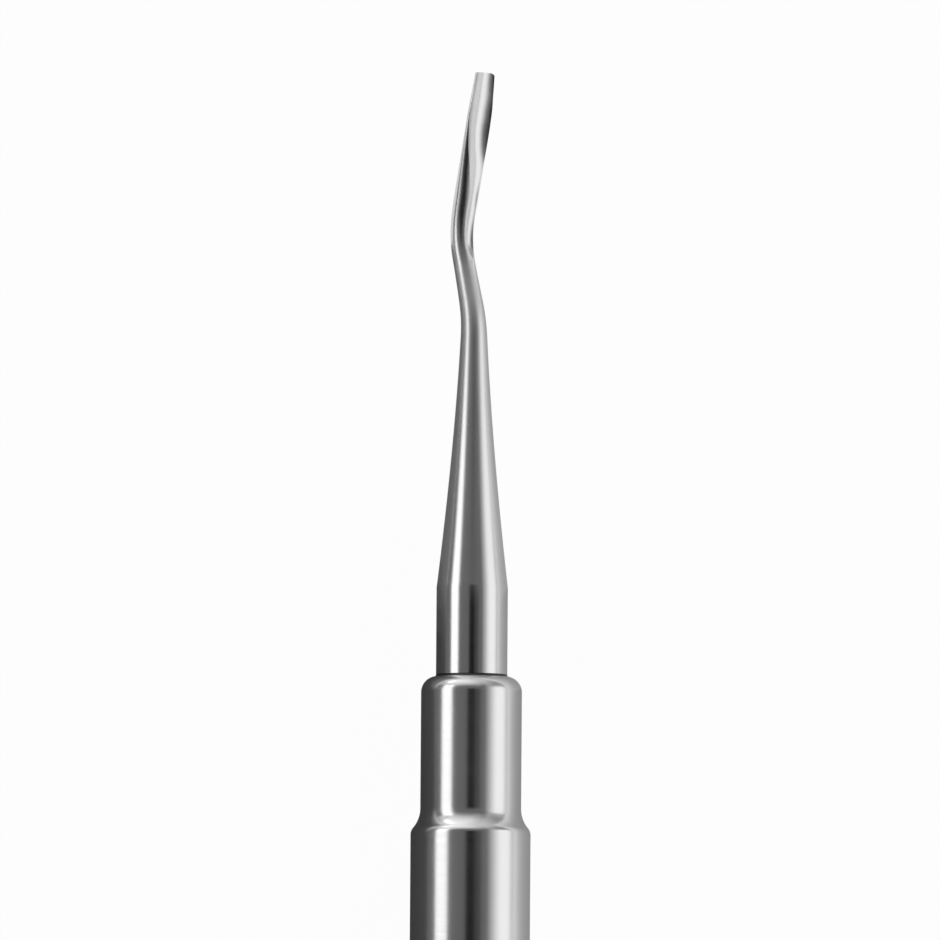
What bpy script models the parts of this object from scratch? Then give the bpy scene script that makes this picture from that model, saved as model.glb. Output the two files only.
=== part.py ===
"""Luxating elevator: a round steel handle that holds a forged working end with a curved, hollow-ground blade.

It lies on its handle along Y, tip towards +Y. Z is up, and the origin is on the surface below its middle.
"""

import math

import bmesh
import bpy
from mathutils import Vector

# Handle, turned from one bar
GRIP_DIAMETER = 0.0095
HANDLE_LENGTH = 0.104
BUTT_EDGE_RADIUS = 0.0015
COLLAR_DIAMETER = 0.00797
COLLAR_LENGTH = 0.0104
MOUTH_EDGE_RADIUS = 0.00126
FLARE_FILLET_RADIUS = 0.0024
FLARE_EDGE_RADIUS = 0.00083

# Root of the working end, which sits in the handle's stepped bore
SHANK_DIAMETER = 0.00564
SEAT_DEPTH = 0.0025
TANG_DIAMETER = 0.0036
TANG_LENGTH = 0.0135
TANG_CHAMFER = 0.0004
FIT_GAP = 0.0002

# Shank, from the handle's mouth to the heel of the blade
STRAIGHT_LENGTH = 0.00707
TAPER_LENGTH = 0.0258
TAPER_POWER = 1.58
NECK_DIAMETER = 0.00173

# Blade, from the heel of the groove to the tip
BLADE_LENGTH = 0.01496
BLADE_WIDTH = 0.00252
HEEL_WIDTH = 0.00208
TIP_WIDTH = 0.00204
TIP_CORNER_RADIUS = 0.0003
TIP_THICKNESS = 0.00009
WEB_THICKNESS = 0.0002
GROOVE_WIDTH = 0.00096
GROOVE_DEPTH = 0.00018
RUNOUT_LENGTH = 0.0016

# Bends, all in the plane that the blade's face looks along
FACE_TURN = math.radians(45)
NECK_LEAN = math.radians(14.1)
BLADE_LEAN = math.radians(12.6)
TIP_LEAN = math.radians(9)
NECK_BEND_REACH = 0.0039
NECK_RUN = 0.002
HEEL_BEND_REACH = 0.0054
HEEL_BEND_LEAD = 0.0006
TIP_EASE_REACH = 0.0051

# Facets
TURNED_SIDES = 64
ARC_STEPS = 7
BACK_STEPS = 30
FACE_STEPS = 12
NECK_FACE_ANGLE = math.radians(22)

# Places along the axis, with the origin half way
MOUTH_TO_HEEL = STRAIGHT_LENGTH + TAPER_LENGTH
MOUTH_TO_TIP = MOUTH_TO_HEEL + BLADE_LENGTH
TOTAL_LENGTH = HANDLE_LENGTH + MOUTH_TO_TIP
BUTT_Y = -TOTAL_LENGTH / 2
MOUTH_Y = BUTT_Y + HANDLE_LENGTH
AXIS_HEIGHT = GRIP_DIAMETER / 2 * math.cos(math.pi / TURNED_SIDES)

FACE_WAY = Vector((math.cos(FACE_TURN), 0, math.sin(FACE_TURN)))
WIDTH_WAY = Vector((-math.sin(FACE_TURN), 0, math.cos(FACE_TURN)))
TIP_WAY = Vector((0, 1, 0))


def clear_scene():
    for thing in list(bpy.data.objects):
        bpy.data.objects.remove(thing)


def steel(name, colour, roughness):
    material = bpy.data.materials.new(name)
    material.use_nodes = True
    shader = material.node_tree.nodes["Principled BSDF"]
    shader.inputs["Base Color"].default_value = (*colour, 1)
    shader.inputs["Metallic"].default_value = 1
    shader.inputs["Roughness"].default_value = roughness
    return material


def finish(name, shape, material):
    """Makes the named object of a sub-part, smooth with crisp edges."""
    bmesh.ops.recalc_face_normals(shape, faces=shape.faces)
    mesh = bpy.data.meshes.new(name)
    shape.to_mesh(mesh)
    shape.free()
    mesh.shade_smooth()
    mesh.set_sharp_from_angle(angle=math.radians(25))
    mesh.materials.append(material)
    made = bpy.data.objects.new(name, mesh)
    bpy.context.collection.objects.link(made)
    return made


def ease(share):
    """Runs smoothly from 0 to 1 as share does."""
    share = min(max(share, 0), 1)
    return share * share * (3 - 2 * share)


def eased_sum(share):
    """The area under ease up to share."""
    if share > 1:
        return share - 0.5
    share = max(share, 0)
    return share**3 - share**4 / 2


def arc(centre, radius, start, end, steps):
    """Points (reach, along) on an arc, from one angle to another, in degrees."""
    angles = [math.radians(start + (end - start) * step / steps) for step in range(steps + 1)]
    return [(centre[0] + radius * math.cos(a), centre[1] + radius * math.sin(a)) for a in angles]


def flare():
    """Points (radius, along) from the collar out to the grip: a hollow fillet that meets a rounded edge."""
    rise = (GRIP_DIAMETER - COLLAR_DIAMETER) / 2
    out = math.copysign(1, rise)
    both = FLARE_FILLET_RADIUS + FLARE_EDGE_RADIUS
    turn = math.acos(max(1 - abs(rise) / both, 0))
    end = -COLLAR_LENGTH - both * math.sin(turn)
    points = []
    for step in range(ARC_STEPS + 1):
        angle = turn * step / ARC_STEPS
        radius = COLLAR_DIAMETER / 2 + out * FLARE_FILLET_RADIUS * (1 - math.cos(angle))
        points.append((radius, -COLLAR_LENGTH - FLARE_FILLET_RADIUS * math.sin(angle)))
    for step in range(1, ARC_STEPS):
        angle = turn * (1 - step / (ARC_STEPS - 1))
        radius = GRIP_DIAMETER / 2 - out * FLARE_EDGE_RADIUS * (1 - math.cos(angle))
        points.append((radius, end + FLARE_EDGE_RADIUS * math.sin(angle)))
    return points


def handle_profile():
    """Points (radius, distance from the mouth towards the tip) round half the handle's section."""
    seat = SHANK_DIAMETER / 2 + FIT_GAP
    bore = TANG_DIAMETER / 2 + FIT_GAP
    deep = SEAT_DEPTH + TANG_LENGTH + FIT_GAP
    collar = COLLAR_DIAMETER / 2
    edge = MOUTH_EDGE_RADIUS
    start = math.acos(max(seat - collar + edge, 0) / edge)
    inside = [(0, -deep), (bore, -deep), (bore, -SEAT_DEPTH), (seat, -SEAT_DEPTH), (seat, 0)]
    mouth = arc((collar - edge, -edge * math.sin(start)), edge, math.degrees(start), 0, ARC_STEPS)
    butt_centre = (GRIP_DIAMETER / 2 - BUTT_EDGE_RADIUS, BUTT_EDGE_RADIUS - HANDLE_LENGTH)
    butt = arc(butt_centre, BUTT_EDGE_RADIUS, 0, -90, ARC_STEPS)
    return inside + mouth + flare() + butt + [(0, -HANDLE_LENGTH)]


def turned(profile):
    """A body of revolution about the instrument's axis, with the middle of a facet at the bottom."""
    shape = bmesh.new()
    phase = math.pi / TURNED_SIDES
    out = Vector((math.sin(phase), 0, -math.cos(phase)))
    base = Vector((0, MOUTH_Y, AXIS_HEIGHT))
    points = [shape.verts.new(base + radius * out + along * TIP_WAY) for radius, along in profile]
    edges = [shape.edges.new(pair) for pair in zip(points, points[1:])]
    bmesh.ops.spin(
        shape,
        geom=points + edges,
        cent=base,
        axis=TIP_WAY,
        angle=math.tau,
        steps=TURNED_SIDES,
        use_merge=True,
    )
    bmesh.ops.remove_doubles(shape, verts=shape.verts, dist=1e-6)
    return shape


def lofted(rings):
    """A closed body that runs through rings of as many points each."""
    shape = bmesh.new()
    end = shape.faces.new([shape.verts.new(point) for point in rings[0]])
    for place, ring in enumerate(rings[1:]):
        grown = bmesh.ops.extrude_face_region(shape, geom=[end])["geom"]
        if place:
            bmesh.ops.delete(shape, geom=[end], context="FACES_ONLY")
        end = next(piece for piece in grown if isinstance(piece, bmesh.types.BMFace))
        for corner, point in zip(end.verts, ring):
            corner.co = point
    bmesh.ops.remove_doubles(shape, verts=shape.verts, dist=1e-6)
    return shape


def bends():
    """Each bend as (start, reach, change of slope), measured along the axis from the mouth."""
    neck_end = MOUTH_TO_HEEL - HEEL_BEND_LEAD - NECK_RUN
    back, forward, tip = math.tan(NECK_LEAN), math.tan(BLADE_LEAN), math.tan(TIP_LEAN)
    return (
        (neck_end - NECK_BEND_REACH, NECK_BEND_REACH, -back),
        (MOUTH_TO_HEEL - HEEL_BEND_LEAD, HEEL_BEND_REACH, back + forward),
        (MOUTH_TO_TIP - TIP_EASE_REACH, TIP_EASE_REACH, tip - forward),
    )


def placed(section, along):
    """The section's points in space, square to the bent centre line at this distance from the mouth."""
    slope = sum(change * ease((along - start) / reach) for start, reach, change in bends())
    aside = sum(change * reach * eased_sum((along - start) / reach) for start, reach, change in bends())
    centre = Vector((0, MOUTH_Y + along, AXIS_HEIGHT)) + aside * FACE_WAY
    face = (FACE_WAY - slope * TIP_WAY).normalized()
    return [centre + across * WIDTH_WAY + high * face for across, high in section]


def through(stops, along):
    """The value at this place on a smooth curve through (place, value) stops, level where they turn."""
    if along <= stops[0][0]:
        return stops[0][1]
    rates = [(b[1] - a[1]) / (b[0] - a[0]) for a, b in zip(stops, stops[1:])]
    slopes = [rates[0]]
    slopes += [2 * a * b / (a + b) if a * b > 0 else 0 for a, b in zip(rates, rates[1:])]
    slopes += [rates[-1]]
    for place, (start, end) in enumerate(zip(stops, stops[1:])):
        if along <= end[0]:
            break
    gap = end[0] - start[0]
    t = min((along - start[0]) / gap, 1)
    rise = end[1] - start[1]
    bend = (1 - t) * slopes[place] * gap - t * slopes[place + 1] * gap + (2 * t - 1) * rise
    return start[1] + t * rise + t * (1 - t) * bend


def gouge_section(half_width, back, groove, floor, cut):
    """Points (across, high) of an oval bar with a groove ground into its face.

    back is how far the bar reaches behind the centre line, groove half the groove's width, floor the height
    of the groove's lowest line, and cut the half width that the outline leaves.
    """
    groove = min(groove, 0.995 * half_width)
    angle = max(math.asin(groove / half_width), NECK_FACE_ANGLE)
    rim = back * math.sqrt(1 - (groove / half_width) ** 2)
    sag = max(rim - floor, 1e-9)
    radius = (groove * groove + sag * sag) / (2 * sag)
    edge = min(half_width * math.sin(angle), cut)
    face = []
    for step in range(FACE_STEPS + 1):
        across = edge * (1 - 2 * step / FACE_STEPS)
        ground = floor + radius - math.sqrt(max(radius * radius - across * across, 0))
        blank = back * math.sqrt(max(1 - (across / half_width) ** 2, 0))
        face.append((across, min(ground, blank)))
    if edge < half_width * math.sin(angle):
        start = math.pi - math.asin(edge / half_width)
        turns = [start + (math.tau - 2 * start) * step / (BACK_STEPS - 2) for step in range(BACK_STEPS - 1)]
    else:
        turns = [angle + (math.tau - 2 * angle) * step / BACK_STEPS for step in range(1, BACK_STEPS)]
    behind = [(half_width * math.sin(turn), back * math.cos(turn)) for turn in reversed(turns)]
    return face + behind


def round_section(radius):
    return gouge_section(radius, radius, 0, radius, radius)


def blade_section(along):
    """The section at this distance from the heel, where the groove starts in the round neck.

    The groove is narrow at first. It widens as the bar flattens, until its edges are the blade's own.
    """
    length, wide, neck = BLADE_LENGTH, BLADE_WIDTH / 2, NECK_DIAMETER / 2
    heel, tip, slot = HEEL_WIDTH / 2, TIP_WIDTH / 2, GROOVE_WIDTH / 2
    half_widths = (
        (0, neck),
        (0.31 * length, heel),
        (0.78 * length, wide),
        (0.89 * length, 0.45 * tip + 0.55 * wide),
        (length, tip),
    )
    backs = (
        (0, neck),
        (0.31 * length, neck),
        (0.51 * length, 0.83 * neck),
        (0.67 * length, 0.67 * neck),
        (0.78 * length, 0.56 * neck),
        (length, 0.43 * neck),
    )
    grooves = (
        (RUNOUT_LENGTH, slot),
        (0.37 * length, slot),
        (0.5 * length, 0.56 * wide),
        (0.62 * length, 0.82 * wide),
        (0.78 * length, 0.97 * wide),
        (length, 0.98 * tip),
    )
    webs = (
        (RUNOUT_LENGTH, 1.86 * neck - GROOVE_DEPTH),
        (0.29 * length, 1.86 * neck - 0.47 * GROOVE_DEPTH),
        (0.37 * length, 1.81 * neck - 0.47 * GROOVE_DEPTH),
        (0.51 * length, 1.31 * neck),
        (0.62 * length, 0.66 * neck),
        (0.73 * length, WEB_THICKNESS),
        (0.82 * length, 0.55 * WEB_THICKNESS),
        (length, TIP_THICKNESS),
    )
    half_width, back, groove, web = (through(stops, along) for stops in (half_widths, backs, grooves, webs))
    entry = 1 - (1 - min(along / RUNOUT_LENGTH, 1)) ** 2
    floor = neck + entry * (web - back - neck)
    left = length - along
    cut = half_width
    if left < TIP_CORNER_RADIUS:
        drop = TIP_CORNER_RADIUS - left
        cut += math.sqrt(max(TIP_CORNER_RADIUS**2 - drop**2, 0)) - TIP_CORNER_RADIUS
    return gouge_section(half_width, back, groove * math.sqrt(entry), floor, cut)


def spaced(start, end, step):
    """Places from start to end, evenly and about a step apart, without the last."""
    count = max(round((end - start) / step), 1)
    return [start + (end - start) * place / count for place in range(count)]


def working_end_rings():
    tang, shank = TANG_DIAMETER / 2, SHANK_DIAMETER / 2
    tang_end = -SEAT_DEPTH - TANG_LENGTH + FIT_GAP
    shoulder = FIT_GAP - SEAT_DEPTH
    rings = [
        placed(round_section(tang - TANG_CHAMFER), tang_end),
        placed(round_section(tang), tang_end + TANG_CHAMFER),
        placed(round_section(tang), shoulder),
        placed(round_section(shank), shoulder),
    ]
    neck = NECK_DIAMETER / 2
    taper = spaced(STRAIGHT_LENGTH, STRAIGHT_LENGTH + 0.7 * TAPER_LENGTH, 0.0012)
    taper += spaced(STRAIGHT_LENGTH + 0.7 * TAPER_LENGTH, MOUTH_TO_HEEL, 0.0005)
    for along in taper:
        left = 1 - (along - STRAIGHT_LENGTH) / TAPER_LENGTH
        rings.append(placed(round_section(neck + (shank - neck) * left**TAPER_POWER), along))
    blade = spaced(0, RUNOUT_LENGTH, 0.0002)
    blade += spaced(RUNOUT_LENGTH, BLADE_LENGTH - TIP_CORNER_RADIUS, 0.0004)
    blade += [BLADE_LENGTH - TIP_CORNER_RADIUS * (1 - math.sin(turn * math.pi / 8)) for turn in range(5)]
    rings += [placed(blade_section(along), MOUTH_TO_HEEL + along) for along in blade]
    return rings


def main():
    clear_scene()
    finish("handle", turned(handle_profile()), steel("turned_steel", (0.60, 0.60, 0.61), 0.22))
    finish("working_end", lofted(working_end_rings()), steel("polished_steel", (0.62, 0.62, 0.63), 0.12))


main()
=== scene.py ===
"""Looks of a luxating elevator: a turned handle, a polished working end and a plain studio."""

import math

import bmesh
import bpy
from bpy.props import FloatProperty, FloatVectorProperty, PointerProperty
from bpy.types import Operator, Panel, PropertyGroup
from mathutils import Matrix, Vector


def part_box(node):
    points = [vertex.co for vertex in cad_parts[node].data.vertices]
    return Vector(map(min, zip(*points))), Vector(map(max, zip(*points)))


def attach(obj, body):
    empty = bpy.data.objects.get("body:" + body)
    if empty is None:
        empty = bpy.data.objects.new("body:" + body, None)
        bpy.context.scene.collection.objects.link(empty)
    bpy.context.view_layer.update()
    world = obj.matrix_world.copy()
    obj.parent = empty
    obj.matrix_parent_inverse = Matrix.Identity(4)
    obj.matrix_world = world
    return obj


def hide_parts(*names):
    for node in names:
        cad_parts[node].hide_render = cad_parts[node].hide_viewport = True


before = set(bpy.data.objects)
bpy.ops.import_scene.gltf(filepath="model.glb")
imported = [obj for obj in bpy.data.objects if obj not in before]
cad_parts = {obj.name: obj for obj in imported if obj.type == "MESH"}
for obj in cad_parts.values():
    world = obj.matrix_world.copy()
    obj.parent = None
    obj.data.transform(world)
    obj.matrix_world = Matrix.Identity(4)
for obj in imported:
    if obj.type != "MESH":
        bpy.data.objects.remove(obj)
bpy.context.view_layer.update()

bl_info = {
    "name": "Luxating Elevator",
    "version": (1, 0, 0),
    "blender": (4, 5, 0),
    "location": "3D View > Sidebar > Elevator",
    "description": "Models and finishes a luxating elevator round its packed solids",
    "category": "Mesh",
}

HANDLE_LOW, HANDLE_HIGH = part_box("handle")

MOUTH_Y = HANDLE_HIGH.y
BUTT_Y = HANDLE_LOW.y
AXIS_HEIGHT = (HANDLE_LOW.z + HANDLE_HIGH.z) / 2
GRIP_RADIUS = (HANDLE_HIGH.x - HANDLE_LOW.x) / 2
TIP_WAY = Vector((0, 1, 0))

# The photograph's frame and its scale on the instrument
FRAME_PIXELS = 940
PIXELS_PER_METRE = 12650

# Radius of the eased edge where the seat opens into the mouth
LIP = 0.00006

# How finely the smooth pieces are divided round and across
TURNED_SIDES = 224
ARC_STEPS = 18
LIP_STEPS = 5
SEAM_STEPS = 10
CORNER_STEPS = 12
BACK_STEPS = 76
FACE_STEPS = 28

# How far apart the rings are along the pieces
GRIP_STEP = 0.004
SHANK_STEP = 0.002
TAPER_STEP = 0.0002
BLADE_STEP = 0.00015
RUNOUT_STEP = 0.00004

# Half the angle that the face spans where the bar is still round
NECK_FACE_ANGLE = math.radians(22)

# The greatest share of its width that the groove takes from the bar
WIDEST_GROOVE = 0.995

# The butt has a ring of points at this share of its flat, so that the flat is shaded as one
FLAT_SHARE = 0.97

# Edges sharper than this stay crisp, and points closer than this become one
SHARP_ANGLE = math.radians(24)
WELD = 2e-7

# Heights of the dark cards over the instrument and of the painted floor shadows beside it
OVERHEAD = 1
BESIDE = 0.0004


def length(name, description, default):
    """A size in metres that a user may change."""
    return FloatProperty(name=name, description=description, default=default, precision=5, unit="LENGTH")


def angle(name, description, degrees):
    """An angle, whose default is given in degrees."""
    default = math.radians(degrees)
    return FloatProperty(name=name, description=description, default=default, subtype="ANGLE")


def share(name, description, default):
    """A value from 0 to 1."""
    return FloatProperty(
        name=name,
        description=description,
        default=default,
        min=0,
        max=1,
        subtype="FACTOR",
    )


def colour(name, description, default):
    return FloatVectorProperty(
        name=name,
        description=description,
        default=default,
        min=0,
        max=1,
        subtype="COLOR",
    )


def level(name, description, default):
    """A value that isn't below 0."""
    return FloatProperty(name=name, description=description, default=default, min=0)


class ElevatorShape(PropertyGroup):
    """Sizes of the instrument"""

    collar_diameter: length("Collar", "Diameter of the stepped-down collar", 0.00797)
    collar_length: length("Collar Length", "From the mouth to the start of the flare", 0.0104)
    mouth_edge: length("Mouth Edge", "Radius of the collar's rounded mouth", 0.00126)
    flare_fillet: length("Flare Fillet", "Radius of the hollow between collar and grip", 0.0024)
    flare_edge: length("Flare Edge", "Radius of the edge between flare and grip", 0.00083)
    butt_edge: length("Butt Edge", "Radius of the handle's rear edge", 0.0015)
    shank_diameter: length("Shank", "Diameter of the straight shank", 0.00564)
    seat_depth: length("Seat Depth", "How far the shank goes into the collar", 0.0025)
    tang_diameter: length("Tang", "Diameter of the tang in the handle", 0.0036)
    tang_length: length("Tang Length", "Length of the tang behind the shank", 0.0135)
    tang_chamfer: length("Tang Chamfer", "Chamfer of the tang's end", 0.0004)
    fit_gap: length("Fit Gap", "Clearance between the working end and its bore", 0.0002)
    straight_length: length("Straight Length", "Visible length of the straight shank", 0.00707)
    taper_length: length("Taper Length", "From the straight shank to the blade's heel", 0.0258)
    taper_power: level("Taper Curve", "How much the taper is hollowed, where 1 is a plain cone", 1.58)
    neck_diameter: length("Neck", "Diameter of the neck at the blade's heel", 0.00173)
    blade_length: length("Blade Length", "From the heel of the groove to the tip", 0.01496)
    blade_width: length("Blade Width", "Greatest width of the blade", 0.00252)
    heel_width: length("Heel Width", "Width of the blade behind its narrow groove", 0.00208)
    tip_width: length("Tip Width", "Width of the blade at its end", 0.00204)
    tip_corner: length("Tip Corner", "Radius of the tip's two corners", 0.0003)
    tip_thickness: length("Tip Thickness", "Thickness of the blade at its end", 0.00009)
    web_thickness: length("Web", "Thickness of the blade under the groove, near the tip", 0.0002)
    groove_width: length("Groove Width", "Width of the groove near the heel", 0.00096)
    groove_depth: length("Groove Depth", "Depth of the groove at its oval start", 0.00018)
    runout_length: length("Runout", "Length of the groove's oval start", 0.0016)
    face_turn: angle("Face Turn", "How far the blade's face is turned up from the horizontal", 45)
    neck_lean: angle("Neck Lean", "How far the neck leans back", 14.1)
    blade_lean: angle("Blade Lean", "How far the blade leans forward", 12.6)
    tip_lean: angle("Tip Lean", "How far the last of the blade leans forward", 9)
    neck_bend: length("Neck Bend", "Length of the bend in the neck", 0.0039)
    neck_run: length("Neck Run", "Straight stretch between the two bends", 0.002)
    heel_bend: length("Heel Bend", "Length of the bend at the heel", 0.0054)
    heel_bend_lead: length("Heel Bend Lead", "How far the heel's bend starts before the groove", 0.0006)
    tip_ease: length("Tip Ease", "Length over which the blade straightens at its tip", 0.0051)


class ElevatorFinish(PropertyGroup):
    """Colours and finishes"""

    handle_steel: colour("Handle Steel", "Colour of the turned handle", (0.62, 0.62, 0.62))
    blade_steel: colour("Working End Steel", "Colour of the polished working end", (0.62, 0.62, 0.62))
    handle_roughness: share("Handle Roughness", "Roughness of the turned handle", 0.2)
    shank_roughness: share("Shank Roughness", "Roughness of the polished shank", 0.18)
    neck_dulling: share("Neck Dulling", "How much rougher the neck is than the shank", 0.17)
    # Braze colour darkened to paint the shade in the seam's crevice
    seam_braze_and_shade_colour: colour("Seam", "Colour of the braze in the seam", (0.05, 0.05, 0.05))


class ElevatorStage(PropertyGroup):
    """Floor, lamps, dark cards and camera"""

    floor_colour: colour("Floor", "Colour of the floor", (0.8, 0.8, 0.8))
    floor_glow: share("Floor Glow", "How much of the floor's white doesn't wait for light", 0.97)
    surroundings: level("Surroundings", "Brightness of the dim studio round the lamps", 0.18)
    left_lamp: level("Left Lamp", "Brightness of the narrow lamp on the left", 1.65)
    right_lamp: level("Right Lamp", "Brightness of the wide lamp on the right", 1.2)
    far_lamp: level("Far Lamp", "Brightness of the lamp beyond the tip", 1.2)
    near_lamp: level("Near Lamp", "Brightness of the lamps behind the butt", 1.2)
    lens: level("Lens", "Focal length of the camera in millimetres", 1500)
    camera_ahead: length("Camera Ahead", "How far the view's middle is beyond the collar's mouth", 0.0164)
    camera_aside: length("Camera Aside", "How far the view's middle is right of the axis", -0.000242)
    camera_pitch: angle("Camera Pitch", "How far the camera stands from overhead, towards the butt", 3.5)
    camera_roll: angle("Camera Roll", "Turn of the camera about its own line of sight", 0.4)


class Wire:
    """A value on its way through a material, which Python's operators work on."""

    def __init__(self, finish, socket):
        self.finish = finish
        self.socket = socket

    def maths(self, operation, *values):
        return self.finish.node("ShaderNodeMath", {"operation": operation}, *values)

    def __add__(self, other):
        return self.maths("ADD", self, other)

    def __sub__(self, other):
        return self.maths("SUBTRACT", self, other)

    def __mul__(self, other):
        return self.maths("MULTIPLY", self, other)

    def __rsub__(self, other):
        return self.maths("SUBTRACT", other, self)

    __radd__ = __add__
    __rmul__ = __mul__


class Finish:
    """A material and the nodes that make its surface."""

    def __init__(self, name):
        self.material = bpy.data.materials.new(name)
        self.material.use_nodes = True
        self.tree = self.material.node_tree
        self.shader = self.tree.nodes["Principled BSDF"]
        self.place = self.node("ShaderNodeTexCoord", {}, output="Object")

    def node(self, kind, settings, *values, output=0, **named):
        """Adds a node, sets it up, feeds its sockets by place or name, and returns one of its outputs."""
        made = self.tree.nodes.new(kind)
        for key, value in settings.items():
            setattr(made, key, value)
        fed = list(enumerate(values))
        fed += [(key.replace("_", " "), value) for key, value in named.items()]
        for key, value in fed:
            self.feed(made.inputs[key], value)
        return Wire(self, made.outputs[output])

    def feed(self, socket, value):
        if isinstance(value, Wire):
            self.tree.links.new(value.socket, socket)
        else:
            socket.default_value = value

    def set(self, **sockets):
        """Feeds the surface shader's sockets by name."""
        for key, value in sockets.items():
            self.feed(self.shader.inputs[key.replace("_", " ")], value)

    def grain(self, scale, detail=2.0, stretch=(1, 1, 1)):
        """Cloudy noise of about this many grains to a metre, stretched along the axes."""
        place = self.node("ShaderNodeMapping", {}, Vector=self.place, Scale=stretch)
        return self.node("ShaderNodeTexNoise", {}, Vector=place, Scale=scale, Detail=detail)

    def tone(self, mask, dark, light):
        """A colour between two, by a mask."""
        mix = self.tree.nodes.new("ShaderNodeMix")
        mix.data_type = "RGBA"
        self.feed(mix.inputs[0], mask)
        self.feed(mix.inputs[6], (*dark, 1))
        self.feed(mix.inputs[7], (*light, 1))
        return Wire(self, mix.outputs[2])

    def whiten(self, mask):
        """Turns the surface to plain white by a mask."""
        white = self.node("ShaderNodeEmission", {}, Strength=1.0)
        mixed = self.node("ShaderNodeMixShader", {}, mask, Wire(self, self.shader.outputs[0]), white)
        self.feed(self.tree.nodes["Material Output"].inputs["Surface"], mixed)

    def bumped(self, height, depth, normal=None):
        """The surface's normal, dented by a height from 0 to 1 that stands for this depth in metres."""
        named = {"Strength": 1.0, "Distance": depth, "Height": height}
        if normal is not None:
            named["Normal"] = normal
        return self.node("ShaderNodeBump", {}, output="Normal", **named)


def shade(tint, factor):
    return tuple(channel * factor for channel in tint)


def turned_steel(finish_sizes):
    """Satin steel with fine marks that run round it, as a lathe and a cloth leave them."""
    finish = Finish("turned_steel")
    tint = tuple(finish_sizes.handle_steel)
    cloud = finish.grain(160, 3.0)
    rings = finish.grain(1, 3.0, (30, 5200, 30))
    fine = finish.grain(1, 2.0, (60, 21000, 60))
    finish.set(
        Base_Color=finish.tone(cloud, shade(tint, 0.95), shade(tint, 1.05)),
        Metallic=1.0,
        Roughness=finish_sizes.handle_roughness + (cloud - 0.5) * 0.06 + (rings - 0.5) * 0.08,
        Normal=finish.bumped(fine, 4e-7, finish.bumped(rings, 1.2e-6)),
    )
    return finish.material


def polished_steel(finish_sizes):
    """Polished steel with faint marks along it, dullest at the narrow neck, and less so on the blade."""
    finish = Finish("polished_steel")
    tint = tuple(finish_sizes.blade_steel)
    cloud = finish.grain(220, 3.0)
    drawn = finish.grain(1, 3.0, (5200, 160, 5200))
    passed = finish.node("ShaderNodeSeparateXYZ", {}, finish.place, output="Y")
    # It dulls all along the taper, and most of that ends again where the blade starts
    rise = finish.node("ShaderNodeMapRange", {}, passed, MOUTH_Y + 0.006, MOUTH_Y + 0.03, 0, 1)
    fall = finish.node("ShaderNodeMapRange", {}, passed, MOUTH_Y + 0.031, MOUTH_Y + 0.036, 0, 0.7)
    dulled = (rise - fall) * finish_sizes.neck_dulling
    finish.set(
        Base_Color=finish.tone(cloud, shade(tint, 0.95), shade(tint, 1.04)),
        Metallic=1.0,
        Roughness=finish_sizes.shank_roughness + dulled + (cloud - drawn) * 0.05,
        Normal=finish.bumped(drawn, 6e-7),
    )
    return finish.material


def seam_filler(finish_sizes):
    """Dark, slightly uneven braze in the seam, made near black to paint the shade in the seam's crevice."""
    finish = Finish("seam_filler")
    tint = tuple(finish_sizes.seam_braze_and_shade_colour)
    cloud = finish.grain(3000, 2.0)
    finish.set(
        Base_Color=finish.tone(cloud, shade(tint, 0.6), shade(tint, 1.4)),
        Metallic=1.0,
        Roughness=0.35 + (cloud - 0.5) * 0.2,
        Normal=finish.bumped(cloud, 3e-6),
    )
    return finish.material


def ease(t):
    """Runs smoothly from 0 to 1 as t does."""
    t = min(max(t, 0), 1)
    return t * t * (3 - 2 * t)


def eased_sum(t):
    """The area under ease up to t."""
    if t > 1:
        return t - 0.5
    t = max(t, 0)
    return t**3 - t**4 / 2


def arc(centre, radius, start, end, steps):
    """Points (reach, along) on an arc, from one angle to another, in degrees."""
    angles = [math.radians(start + (end - start) * step / steps) for step in range(steps + 1)]
    return [(centre[0] + radius * math.cos(a), centre[1] + radius * math.sin(a)) for a in angles]


def through(stops, along):
    """The value at this place on a smooth curve through (place, value) stops, level where they turn."""
    if along <= stops[0][0]:
        return stops[0][1]
    rates = [(b[1] - a[1]) / (b[0] - a[0]) for a, b in zip(stops, stops[1:])]
    slopes = [rates[0]]
    slopes += [2 * a * b / (a + b) if a * b > 0 else 0 for a, b in zip(rates, rates[1:])]
    slopes += [rates[-1]]
    for place, (start, end) in enumerate(zip(stops, stops[1:])):
        if along <= end[0]:
            break
    gap = end[0] - start[0]
    t = min((along - start[0]) / gap, 1)
    rise = end[1] - start[1]
    bend = (1 - t) * slopes[place] * gap - t * slopes[place + 1] * gap + (2 * t - 1) * rise
    return start[1] + t * rise + t * (1 - t) * bend


def spaced(start, end, step):
    """Places from start to end, evenly and about a step apart, without the last."""
    count = max(round((end - start) / step), 1)
    return [start + (end - start) * place / count for place in range(count)]


def finished_piece(name, shape, material):
    """Makes the piece's object: closed, facing out, smooth with crisp edges, and riding on the body."""
    bmesh.ops.remove_doubles(shape, verts=shape.verts, dist=WELD)
    bmesh.ops.recalc_face_normals(shape, faces=shape.faces)
    mesh = bpy.data.meshes.new(name)
    shape.to_mesh(mesh)
    shape.free()
    mesh.shade_smooth()
    mesh.set_sharp_from_angle(angle=SHARP_ANGLE)
    mesh.materials.append(material)
    piece = bpy.data.objects.new(name, mesh)
    bpy.context.collection.objects.link(piece)
    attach(piece, "root")
    return piece


def turned(profile):
    """A body of revolution about the instrument's axis, from points (radius, distance past the mouth)."""
    shape = bmesh.new()
    base = Vector((0, MOUTH_Y, AXIS_HEIGHT))
    points = [shape.verts.new(base + Vector((0, along, -radius))) for radius, along in profile]
    edges = [shape.edges.new(pair) for pair in zip(points, points[1:])]
    bmesh.ops.spin(
        shape,
        geom=points + edges,
        cent=base,
        axis=TIP_WAY,
        angle=math.tau,
        steps=TURNED_SIDES,
        use_merge=True,
    )
    return shape


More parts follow.
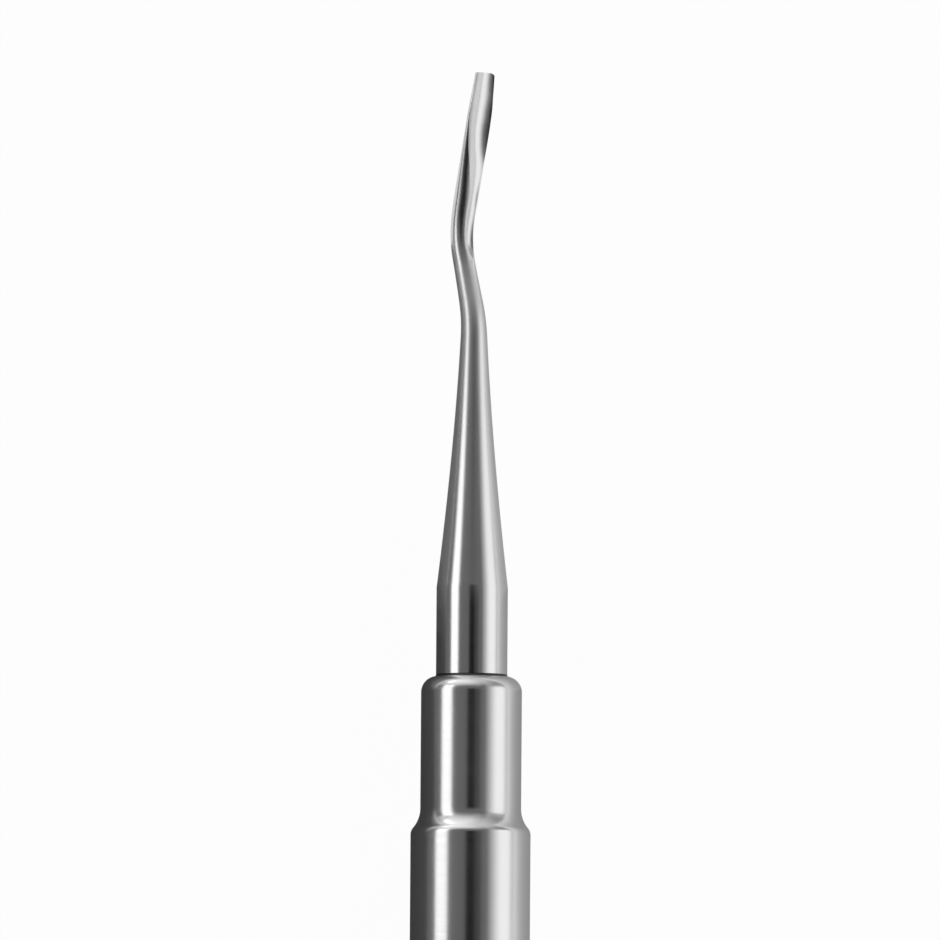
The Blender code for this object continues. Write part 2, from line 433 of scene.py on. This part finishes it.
def lofted(rings):
    """A closed body that runs through rings of as many points each."""
    shape = bmesh.new()
    end = shape.faces.new([shape.verts.new(point) for point in rings[0]])
    for place, ring in enumerate(rings[1:]):
        grown = bmesh.ops.extrude_face_region(shape, geom=[end])["geom"]
        if place:
            bmesh.ops.delete(shape, geom=[end], context="FACES_ONLY")
        end = next(piece for piece in grown if isinstance(piece, bmesh.types.BMFace))
        for corner, point in zip(end.verts, ring):
            corner.co = point
    return shape


def flare(sizes):
    """Points (radius, along) from the collar out to the grip, by a fillet and a rounded edge."""
    collar = sizes.collar_diameter / 2
    fillet, edge = sizes.flare_fillet, sizes.flare_edge
    start = -sizes.collar_length
    turn = math.acos(1 - (GRIP_RADIUS - collar) / (fillet + edge))
    end = start - (fillet + edge) * math.sin(turn)
    points = []
    for step in range(ARC_STEPS + 1):
        bend = turn * step / ARC_STEPS
        points.append((collar + fillet * (1 - math.cos(bend)), start - fillet * math.sin(bend)))
    for step in range(1, ARC_STEPS + 1):
        bend = turn * (1 - step / ARC_STEPS)
        points.append((GRIP_RADIUS - edge * (1 - math.cos(bend)), end + edge * math.sin(bend)))
    return points


def handle_profile(sizes):
    """Points (radius, distance from the mouth towards the tip) round half the handle's section."""
    seat = sizes.shank_diameter / 2 + sizes.fit_gap
    bore = sizes.tang_diameter / 2 + sizes.fit_gap
    deep = sizes.seat_depth + sizes.tang_length + sizes.fit_gap
    collar = sizes.collar_diameter / 2
    edge = sizes.mouth_edge
    rear = sizes.butt_edge
    butt = BUTT_Y - MOUTH_Y
    inside = [(0, -deep), (bore, -deep), (bore, -sizes.seat_depth), (seat, -sizes.seat_depth)]
    lip = arc((seat + LIP, -LIP), LIP, 180, 90, LIP_STEPS)
    start = math.acos(max(seat + LIP - collar + edge, 0) / edge)
    mouth = arc((collar - edge, -edge * math.sin(start)), edge, math.degrees(start), 0, ARC_STEPS)
    end = arc((GRIP_RADIUS - rear, butt + rear), rear, 0, -90, ARC_STEPS)
    grip = [(GRIP_RADIUS, along) for along in spaced(flare(sizes)[-1][1], butt + rear, GRIP_STEP)[1:]]
    flat = [(FLAT_SHARE * (GRIP_RADIUS - rear), butt), (0, butt)]
    return inside + lip + mouth + flare(sizes) + grip + end + flat


def bends(sizes):
    """Each bend as (start, reach, change of slope), measured along the axis from the mouth."""
    heel = sizes.straight_length + sizes.taper_length
    tip = heel + sizes.blade_length
    neck_end = heel - sizes.heel_bend_lead - sizes.neck_run
    back, forward = math.tan(sizes.neck_lean), math.tan(sizes.blade_lean)
    return (
        (neck_end - sizes.neck_bend, sizes.neck_bend, -back),
        (heel - sizes.heel_bend_lead, sizes.heel_bend, back + forward),
        (tip - sizes.tip_ease, sizes.tip_ease, math.tan(sizes.tip_lean) - forward),
    )


def placed(section, along, sizes):
    """The section's points in space, square to the bent centre line at this distance from the mouth."""
    face_way = Vector((math.cos(sizes.face_turn), 0, math.sin(sizes.face_turn)))
    width_way = Vector((-math.sin(sizes.face_turn), 0, math.cos(sizes.face_turn)))
    turns = [((along - start) / reach, reach, change) for start, reach, change in bends(sizes)]
    slope = sum(change * ease(part) for part, reach, change in turns)
    aside = sum(change * reach * eased_sum(part) for part, reach, change in turns)
    centre = Vector((0, MOUTH_Y + along, AXIS_HEIGHT)) + aside * face_way
    face = (face_way - slope * TIP_WAY).normalized()
    return [centre + across * width_way + high * face for across, high in section]


def gouge_section(half_width, back, groove, floor, cut):
    """Points (across, high) of an oval bar with a groove ground into its face.

    back is how far the bar reaches behind the centre line, groove half the groove's width, floor
    the height of the groove's lowest line, and cut the half width that the outline leaves.
    """
    groove = min(groove, WIDEST_GROOVE * half_width)
    turn = max(math.asin(groove / half_width), NECK_FACE_ANGLE)
    rim = back * math.sqrt(1 - (groove / half_width) ** 2)
    sag = max(rim - floor, 1e-9)
    radius = (groove * groove + sag * sag) / (2 * sag)
    edge = min(half_width * math.sin(turn), cut)
    face = []
    for step in range(FACE_STEPS + 1):
        across = edge * (1 - 2 * step / FACE_STEPS)
        ground = floor + radius - math.sqrt(max(radius * radius - across * across, 0))
        blank = back * math.sqrt(max(1 - (across / half_width) ** 2, 0))
        face.append((across, min(ground, blank)))
    if edge < half_width * math.sin(turn):
        start = math.pi - math.asin(edge / half_width)
        steps = BACK_STEPS - 2
        turns = [start + (math.tau - 2 * start) * step / steps for step in range(steps + 1)]
    else:
        turns = [turn + (math.tau - 2 * turn) * step / BACK_STEPS for step in range(1, BACK_STEPS)]
    behind = [(half_width * math.sin(a), back * math.cos(a)) for a in reversed(turns)]
    return face + behind


def round_section(radius):
    return gouge_section(radius, radius, 0, radius, radius)


def blade_section(along, sizes):
    """The section at this distance from the heel, where the groove starts in the round neck.

    The groove is narrow at first. It widens as the bar flattens, until its edges are the blade's own.
    Each stop below gives a distance from the heel and the value there.
    """
    full, wide, neck = sizes.blade_length, sizes.blade_width / 2, sizes.neck_diameter / 2
    heel, tip, slot = sizes.heel_width / 2, sizes.tip_width / 2, sizes.groove_width / 2
    half_widths = (
        (0, neck),
        (0.31 * full, heel),
        (0.78 * full, wide),
        (0.89 * full, 0.45 * tip + 0.55 * wide),
        (full, tip),
    )
    backs = (
        (0, neck),
        (0.31 * full, neck),
        (0.51 * full, 0.83 * neck),
        (0.67 * full, 0.67 * neck),
        (0.78 * full, 0.56 * neck),
        (full, 0.43 * neck),
    )
    grooves = (
        (sizes.runout_length, slot),
        (0.37 * full, slot),
        (0.5 * full, 0.56 * wide),
        (0.62 * full, 0.82 * wide),
        (0.78 * full, 0.97 * wide),
        (full, 0.98 * tip),
    )
    webs = (
        (sizes.runout_length, 1.86 * neck - sizes.groove_depth),
        (0.29 * full, 1.86 * neck - 0.47 * sizes.groove_depth),
        (0.37 * full, 1.81 * neck - 0.47 * sizes.groove_depth),
        (0.51 * full, 1.31 * neck),
        (0.62 * full, 0.66 * neck),
        (0.73 * full, sizes.web_thickness),
        (0.82 * full, 0.55 * sizes.web_thickness),
        (full, sizes.tip_thickness),
    )
    stops = (half_widths, backs, grooves, webs)
    half_width, back, groove, web = (through(each, along) for each in stops)
    entry = 1 - (1 - min(along / sizes.runout_length, 1)) ** 2
    floor = neck + entry * (web - back - neck)
    left = full - along
    cut = half_width
    if left < sizes.tip_corner:
        drop = sizes.tip_corner - left
        cut += math.sqrt(max(sizes.tip_corner**2 - drop**2, 0)) - sizes.tip_corner
    return gouge_section(half_width, back, groove * math.sqrt(entry), floor, cut)


def working_end_rings(sizes):
    tang, shank, neck = sizes.tang_diameter / 2, sizes.shank_diameter / 2, sizes.neck_diameter / 2
    tang_end = sizes.fit_gap - sizes.seat_depth - sizes.tang_length
    shoulder = sizes.fit_gap - sizes.seat_depth
    chamfer = sizes.tang_chamfer
    root = [(tang - chamfer, tang_end), (tang, tang_end + chamfer), (tang, shoulder), (shank, shoulder)]
    root += [(shank, along) for along in spaced(0, sizes.straight_length, SHANK_STEP)]
    rings = [placed(round_section(radius), along, sizes) for radius, along in root]
    taper_start, heel = sizes.straight_length, sizes.straight_length + sizes.taper_length
    for along in spaced(taper_start, heel, TAPER_STEP):
        left = 1 - (along - taper_start) / sizes.taper_length
        rings.append(placed(round_section(neck + (shank - neck) * left**sizes.taper_power), along, sizes))
    corner_start = sizes.blade_length - sizes.tip_corner
    blade = spaced(0, sizes.runout_length, RUNOUT_STEP)
    blade += spaced(sizes.runout_length, corner_start, BLADE_STEP)
    turns = [step * math.pi / (2 * CORNER_STEPS) for step in range(CORNER_STEPS + 1)]
    blade += [corner_start + sizes.tip_corner * math.sin(turn) for turn in turns]
    rings += [placed(blade_section(along, sizes), heel + along, sizes) for along in blade]
    return rings


class OBJECT_OT_elevator_handle(Operator):
    """Model the turned handle"""

    bl_idname = "object.elevator_handle"
    bl_label = "Handle"

    def execute(self, context):
        shape = turned(handle_profile(context.scene.elevator_shape))
        piece = finished_piece("turned_handle", shape, turned_steel(context.scene.elevator_finish))
        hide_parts("handle")
        return {"FINISHED"}


class OBJECT_OT_elevator_working_end(Operator):
    """Model the blade, neck, shank and tang"""

    bl_idname = "object.elevator_working_end"
    bl_label = "Working End"

    def execute(self, context):
        shape = lofted(working_end_rings(context.scene.elevator_shape))
        piece = finished_piece("polished_working_end", shape, polished_steel(context.scene.elevator_finish))
        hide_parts("working_end")
        return {"FINISHED"}


class OBJECT_OT_elevator_seam(Operator):
    """Fill the seam between the shank and the collar"""

    bl_idname = "object.elevator_seam"
    bl_label = "Seam"

    def execute(self, context):
        sizes = context.scene.elevator_shape
        inner = sizes.shank_diameter / 2
        gap = sizes.fit_gap
        hollow = arc((inner + gap, gap), gap, 180, 262, SEAM_STEPS)
        root = [(inner + gap, -gap), (inner, -gap), (inner, gap)]
        profile = hollow + [(inner + gap, hollow[-1][1] - 0.2 * gap)] + root
        piece = finished_piece("seam_filler", turned(profile), seam_filler(context.scene.elevator_finish))
        return {"FINISHED"}


class OBJECT_OT_elevator_stage(Operator):
    """Set up the floor, lamps and camera"""

    bl_idname = "object.elevator_stage"
    bl_label = "Studio"

    def execute(self, context):
        stage = context.scene.elevator_stage
        floor(stage)
        cards(stage)
        lamps(stage)
        camera(stage)
        return {"FINISHED"}


def view_middle(stage):
    """The point on the instrument's axis plane at the middle of the view."""
    return Vector((stage.camera_aside, MOUTH_Y + stage.camera_ahead, AXIS_HEIGHT))


def staged(name, shape, material):
    mesh = bpy.data.meshes.new(name)
    shape.to_mesh(mesh)
    shape.free()
    mesh.materials.append(material)
    made = bpy.data.objects.new(name, mesh)
    bpy.context.collection.objects.link(made)
    return made


def floor(stage):
    """White paper that keeps part of its shadows and looks white to the camera and in the steel."""
    finish = Finish("floor_paper")
    finish.set(Base_Color=(*stage.floor_colour, 1), Roughness=0.9, Specular_IOR_Level=0.0)
    rays = ("Is Camera Ray", "Is Glossy Ray", "Is Transmission Ray")
    seen = sum(finish.node("ShaderNodeLightPath", {}, output=ray) for ray in rays)
    finish.whiten(seen * stage.floor_glow)
    shape = bmesh.new()
    bmesh.ops.create_circle(shape, cap_ends=True, segments=96, radius=4)
    staged("floor", shape, finish.material)


def card(name, stage, height, sides, ends, grey, fade=0):
    """A level dark card that only the steel shows.

    Its sides are measured from the instrument's axis, and its ends from the middle of the view. With a
    fade, in metres, it brightens to the floor's white over this way from the axis.
    """
    finish = Finish(name)
    finish.set(Base_Color=(grey, grey, grey, 1), Roughness=0.9, Specular_IOR_Level=0.0)
    # A fade paints a shadow that is darkest by the axis and whitens outwards
    if fade:
        passed = finish.node("ShaderNodeSeparateXYZ", {}, finish.place) * (1 / fade)
        finish.whiten(passed.maths("POWER", passed, 0.5))
    shape = bmesh.new()
    corners = ((sides[0], ends[0]), (sides[1], ends[0]), (sides[1], ends[1]), (sides[0], ends[1]))
    ahead = view_middle(stage).y
    shape.faces.new([shape.verts.new((x, ahead + y, height)) for x, y in corners])
    made = staged(name, shape, finish.material)
    made.visible_camera = False
    made.visible_diffuse = False
    made.visible_transmission = False
    made.visible_shadow = False


def cards(stage):
    """Hangs dark cards over the instrument, and sets low ones beside its handle, shank and neck."""
    card("camera_shade", stage, OVERHEAD, (-0.158, 0.14), (-0.14, 0.125), 0.01)
    for step in range(4):
        near = 0.125 + 0.025 * step
        card("far_shade", stage, OVERHEAD, (-0.158, 0.14), (near, near + 0.025), 0.03 + 0.02 * step)
    card("right_shade", stage, OVERHEAD, (0.14, 0.37), (-0.14, 0.16), 0.12)
    card("blade_shade", stage, OVERHEAD, (-0.6, 0.36), (-0.59, -0.14), 0.01)
    # Painted shadow: low cards, seen only in the steel, darken the floor that it reflects beside the
    # instrument
    for near, far, grey in (
        (-0.14, -0.0125, 0.15),
        (-0.0125, -0.0105, 0.2),
        (-0.0105, -0.0085, 0.26),
        (-0.0085, -0.0065, 0.33),
        (-0.0065, 0.018, 0.4),
    ):
        card("left_painted_floor_shade", stage, BESIDE, (-4, -0.0026), (near, far), grey)
    card("left_far_painted_floor_shade", stage, BESIDE, (-4, -0.25), (0.018, 0.5), 0.15)
    # Painted shadow on the right, darkest by the axis and fading to the floor's white further out
    for near, far, grey in ((-0.14, -0.0164, 0.1), (-0.0164, -0.009, 0.32), (-0.009, 0.018, 0.6)):
        card("right_painted_floor_shade", stage, BESIDE, (0.0026, 0.06), (near, far), grey, fade=0.06)


def softbox(name, stage, lean, tilt, sides, ends, brightness, away=1.0):
    """A lamp square to a line that leans to the right and tilts to the tip, in degrees.

    sides and ends are the angles at which its edges are seen on either side of that line, and away
    is its distance in metres.
    """
    low, high = (away * math.tan(math.radians(side)) for side in sides)
    near, far = (away * math.tan(math.radians(end)) for end in ends)
    lamp = bpy.data.lights.new(name, "AREA")
    lamp.shape = "RECTANGLE"
    lamp.size = high - low
    lamp.size_y = far - near
    # A lamp's face is as bright as its power divided by pi and by its area
    lamp.energy = brightness * math.pi * lamp.size * lamp.size_y
    made = bpy.data.objects.new(name, lamp)
    bpy.context.collection.objects.link(made)
    lean, tilt = math.radians(lean), math.radians(tilt)
    way = Vector((math.sin(lean), math.sin(tilt) * math.cos(lean), math.cos(tilt) * math.cos(lean)))
    across = Vector((1, 0, 0)) if tilt else Vector((math.cos(lean), 0, -math.sin(lean)))
    up = way.cross(across)
    made.location = view_middle(stage) + away * way + across * (low + high) / 2 + up * (near + far) / 2
    made.rotation_mode = "QUATERNION"
    made.rotation_quaternion = Matrix((across, up, way)).transposed().to_quaternion()
    made.visible_camera = False
    return made


def lamps(stage):
    """Sets up the lamps. Each row gives the edges of one in degrees and its part of the brightness."""
    for low, high, near, far, part in (
        (-13, 13, -2, 35, 1),
        (-13, 13, -42, -2, 0.15),
        (-27, -8, 35, 70, 0.45),
    ):
        softbox("left_lamp", stage, -58, 0, (low, high), (near, far), part * stage.left_lamp)
    for start, end, part in ((36, 90, 0.29), (44, 88, 0.29), (51, 84, 0.25), (57, 80, 0.17)):
        middle, half = (start + end) / 2, (end - start) / 2
        softbox("right_lamp", stage, middle, 0, (-half, half), (-32, 24), part * stage.right_lamp)
    for near, far, part in ((24, 36, 0.3), (36, 75, 0.15)):
        softbox("right_lamp", stage, 65, 0, (-25, 25), (near, far), part * stage.right_lamp)
    # These overlap. In one plane they would hide each other, so each has its own distance.
    for end, near, part in (
        (38, -20, 0.14),
        (28, -5, 0.14),
        (20, -26, 0.15),
        (12, -11, 0.15),
        (4, -16, 0.15),
        (-4, 3, 0.15),
        (-12, 11, 0.12),
    ):
        softbox("far_lamp", stage, 0, 57, (-42, end), (near, 31), part * stage.far_lamp, 1 + end / 1000)
    for sides, part in (((-42, -24), 1), ((4, 42), 0.6)):
        softbox("near_lamp", stage, 0, -57, sides, (-31, 15), part * stage.near_lamp)
    world = bpy.data.worlds.new("studio")
    world.use_nodes = True
    dim = (stage.surroundings,) * 3
    world.node_tree.nodes["Background"].inputs["Color"].default_value = (*dim, 1)
    bpy.context.scene.world = world


def camera(stage):
    eye = bpy.data.cameras.new("camera")
    eye.lens = stage.lens
    width = FRAME_PIXELS / PIXELS_PER_METRE
    distance = width * eye.lens / eye.sensor_width
    made = bpy.data.objects.new("camera", eye)
    bpy.context.collection.objects.link(made)
    made.rotation_euler = (stage.camera_pitch, 0, stage.camera_roll)
    made.location = view_middle(stage) + made.rotation_euler.to_matrix() @ Vector((0, 0, distance))
    eye.clip_start = distance / 100
    bpy.context.scene.camera = made
    bpy.context.scene.view_settings.view_transform = "Standard"


class VIEW3D_PT_elevator(Panel):
    """Lists the pieces and their settings"""

    bl_label = "Luxating Elevator"
    bl_space_type = "VIEW_3D"
    bl_region_type = "UI"
    bl_category = "Elevator"

    def draw(self, context):
        for step in STEPS:
            self.layout.operator(step.bl_idname)
        for group in SETTINGS:
            box = self.layout.box()
            settings = getattr(context.scene, group)
            for key in settings.bl_rna.properties.keys():
                if key not in ("name", "rna_type"):
                    box.prop(settings, key)


STEPS = (
    OBJECT_OT_elevator_handle,
    OBJECT_OT_elevator_working_end,
    OBJECT_OT_elevator_seam,
    OBJECT_OT_elevator_stage,
)
SETTINGS = {
    "elevator_shape": ElevatorShape,
    "elevator_finish": ElevatorFinish,
    "elevator_stage": ElevatorStage,
}
CLASSES = (*SETTINGS.values(), *STEPS, VIEW3D_PT_elevator)


def register():
    for kind in CLASSES:
        bpy.utils.register_class(kind)
    for name, kind in SETTINGS.items():
        setattr(bpy.types.Scene, name, PointerProperty(type=kind))


def unregister():
    for name in SETTINGS:
        delattr(bpy.types.Scene, name)
    for kind in reversed(CLASSES):
        bpy.utils.unregister_class(kind)


def main():
    register()
    bpy.ops.object.elevator_handle()
    bpy.ops.object.elevator_working_end()
    bpy.ops.object.elevator_seam()
    bpy.ops.object.elevator_stage()


if __name__ == "__main__":
    main()
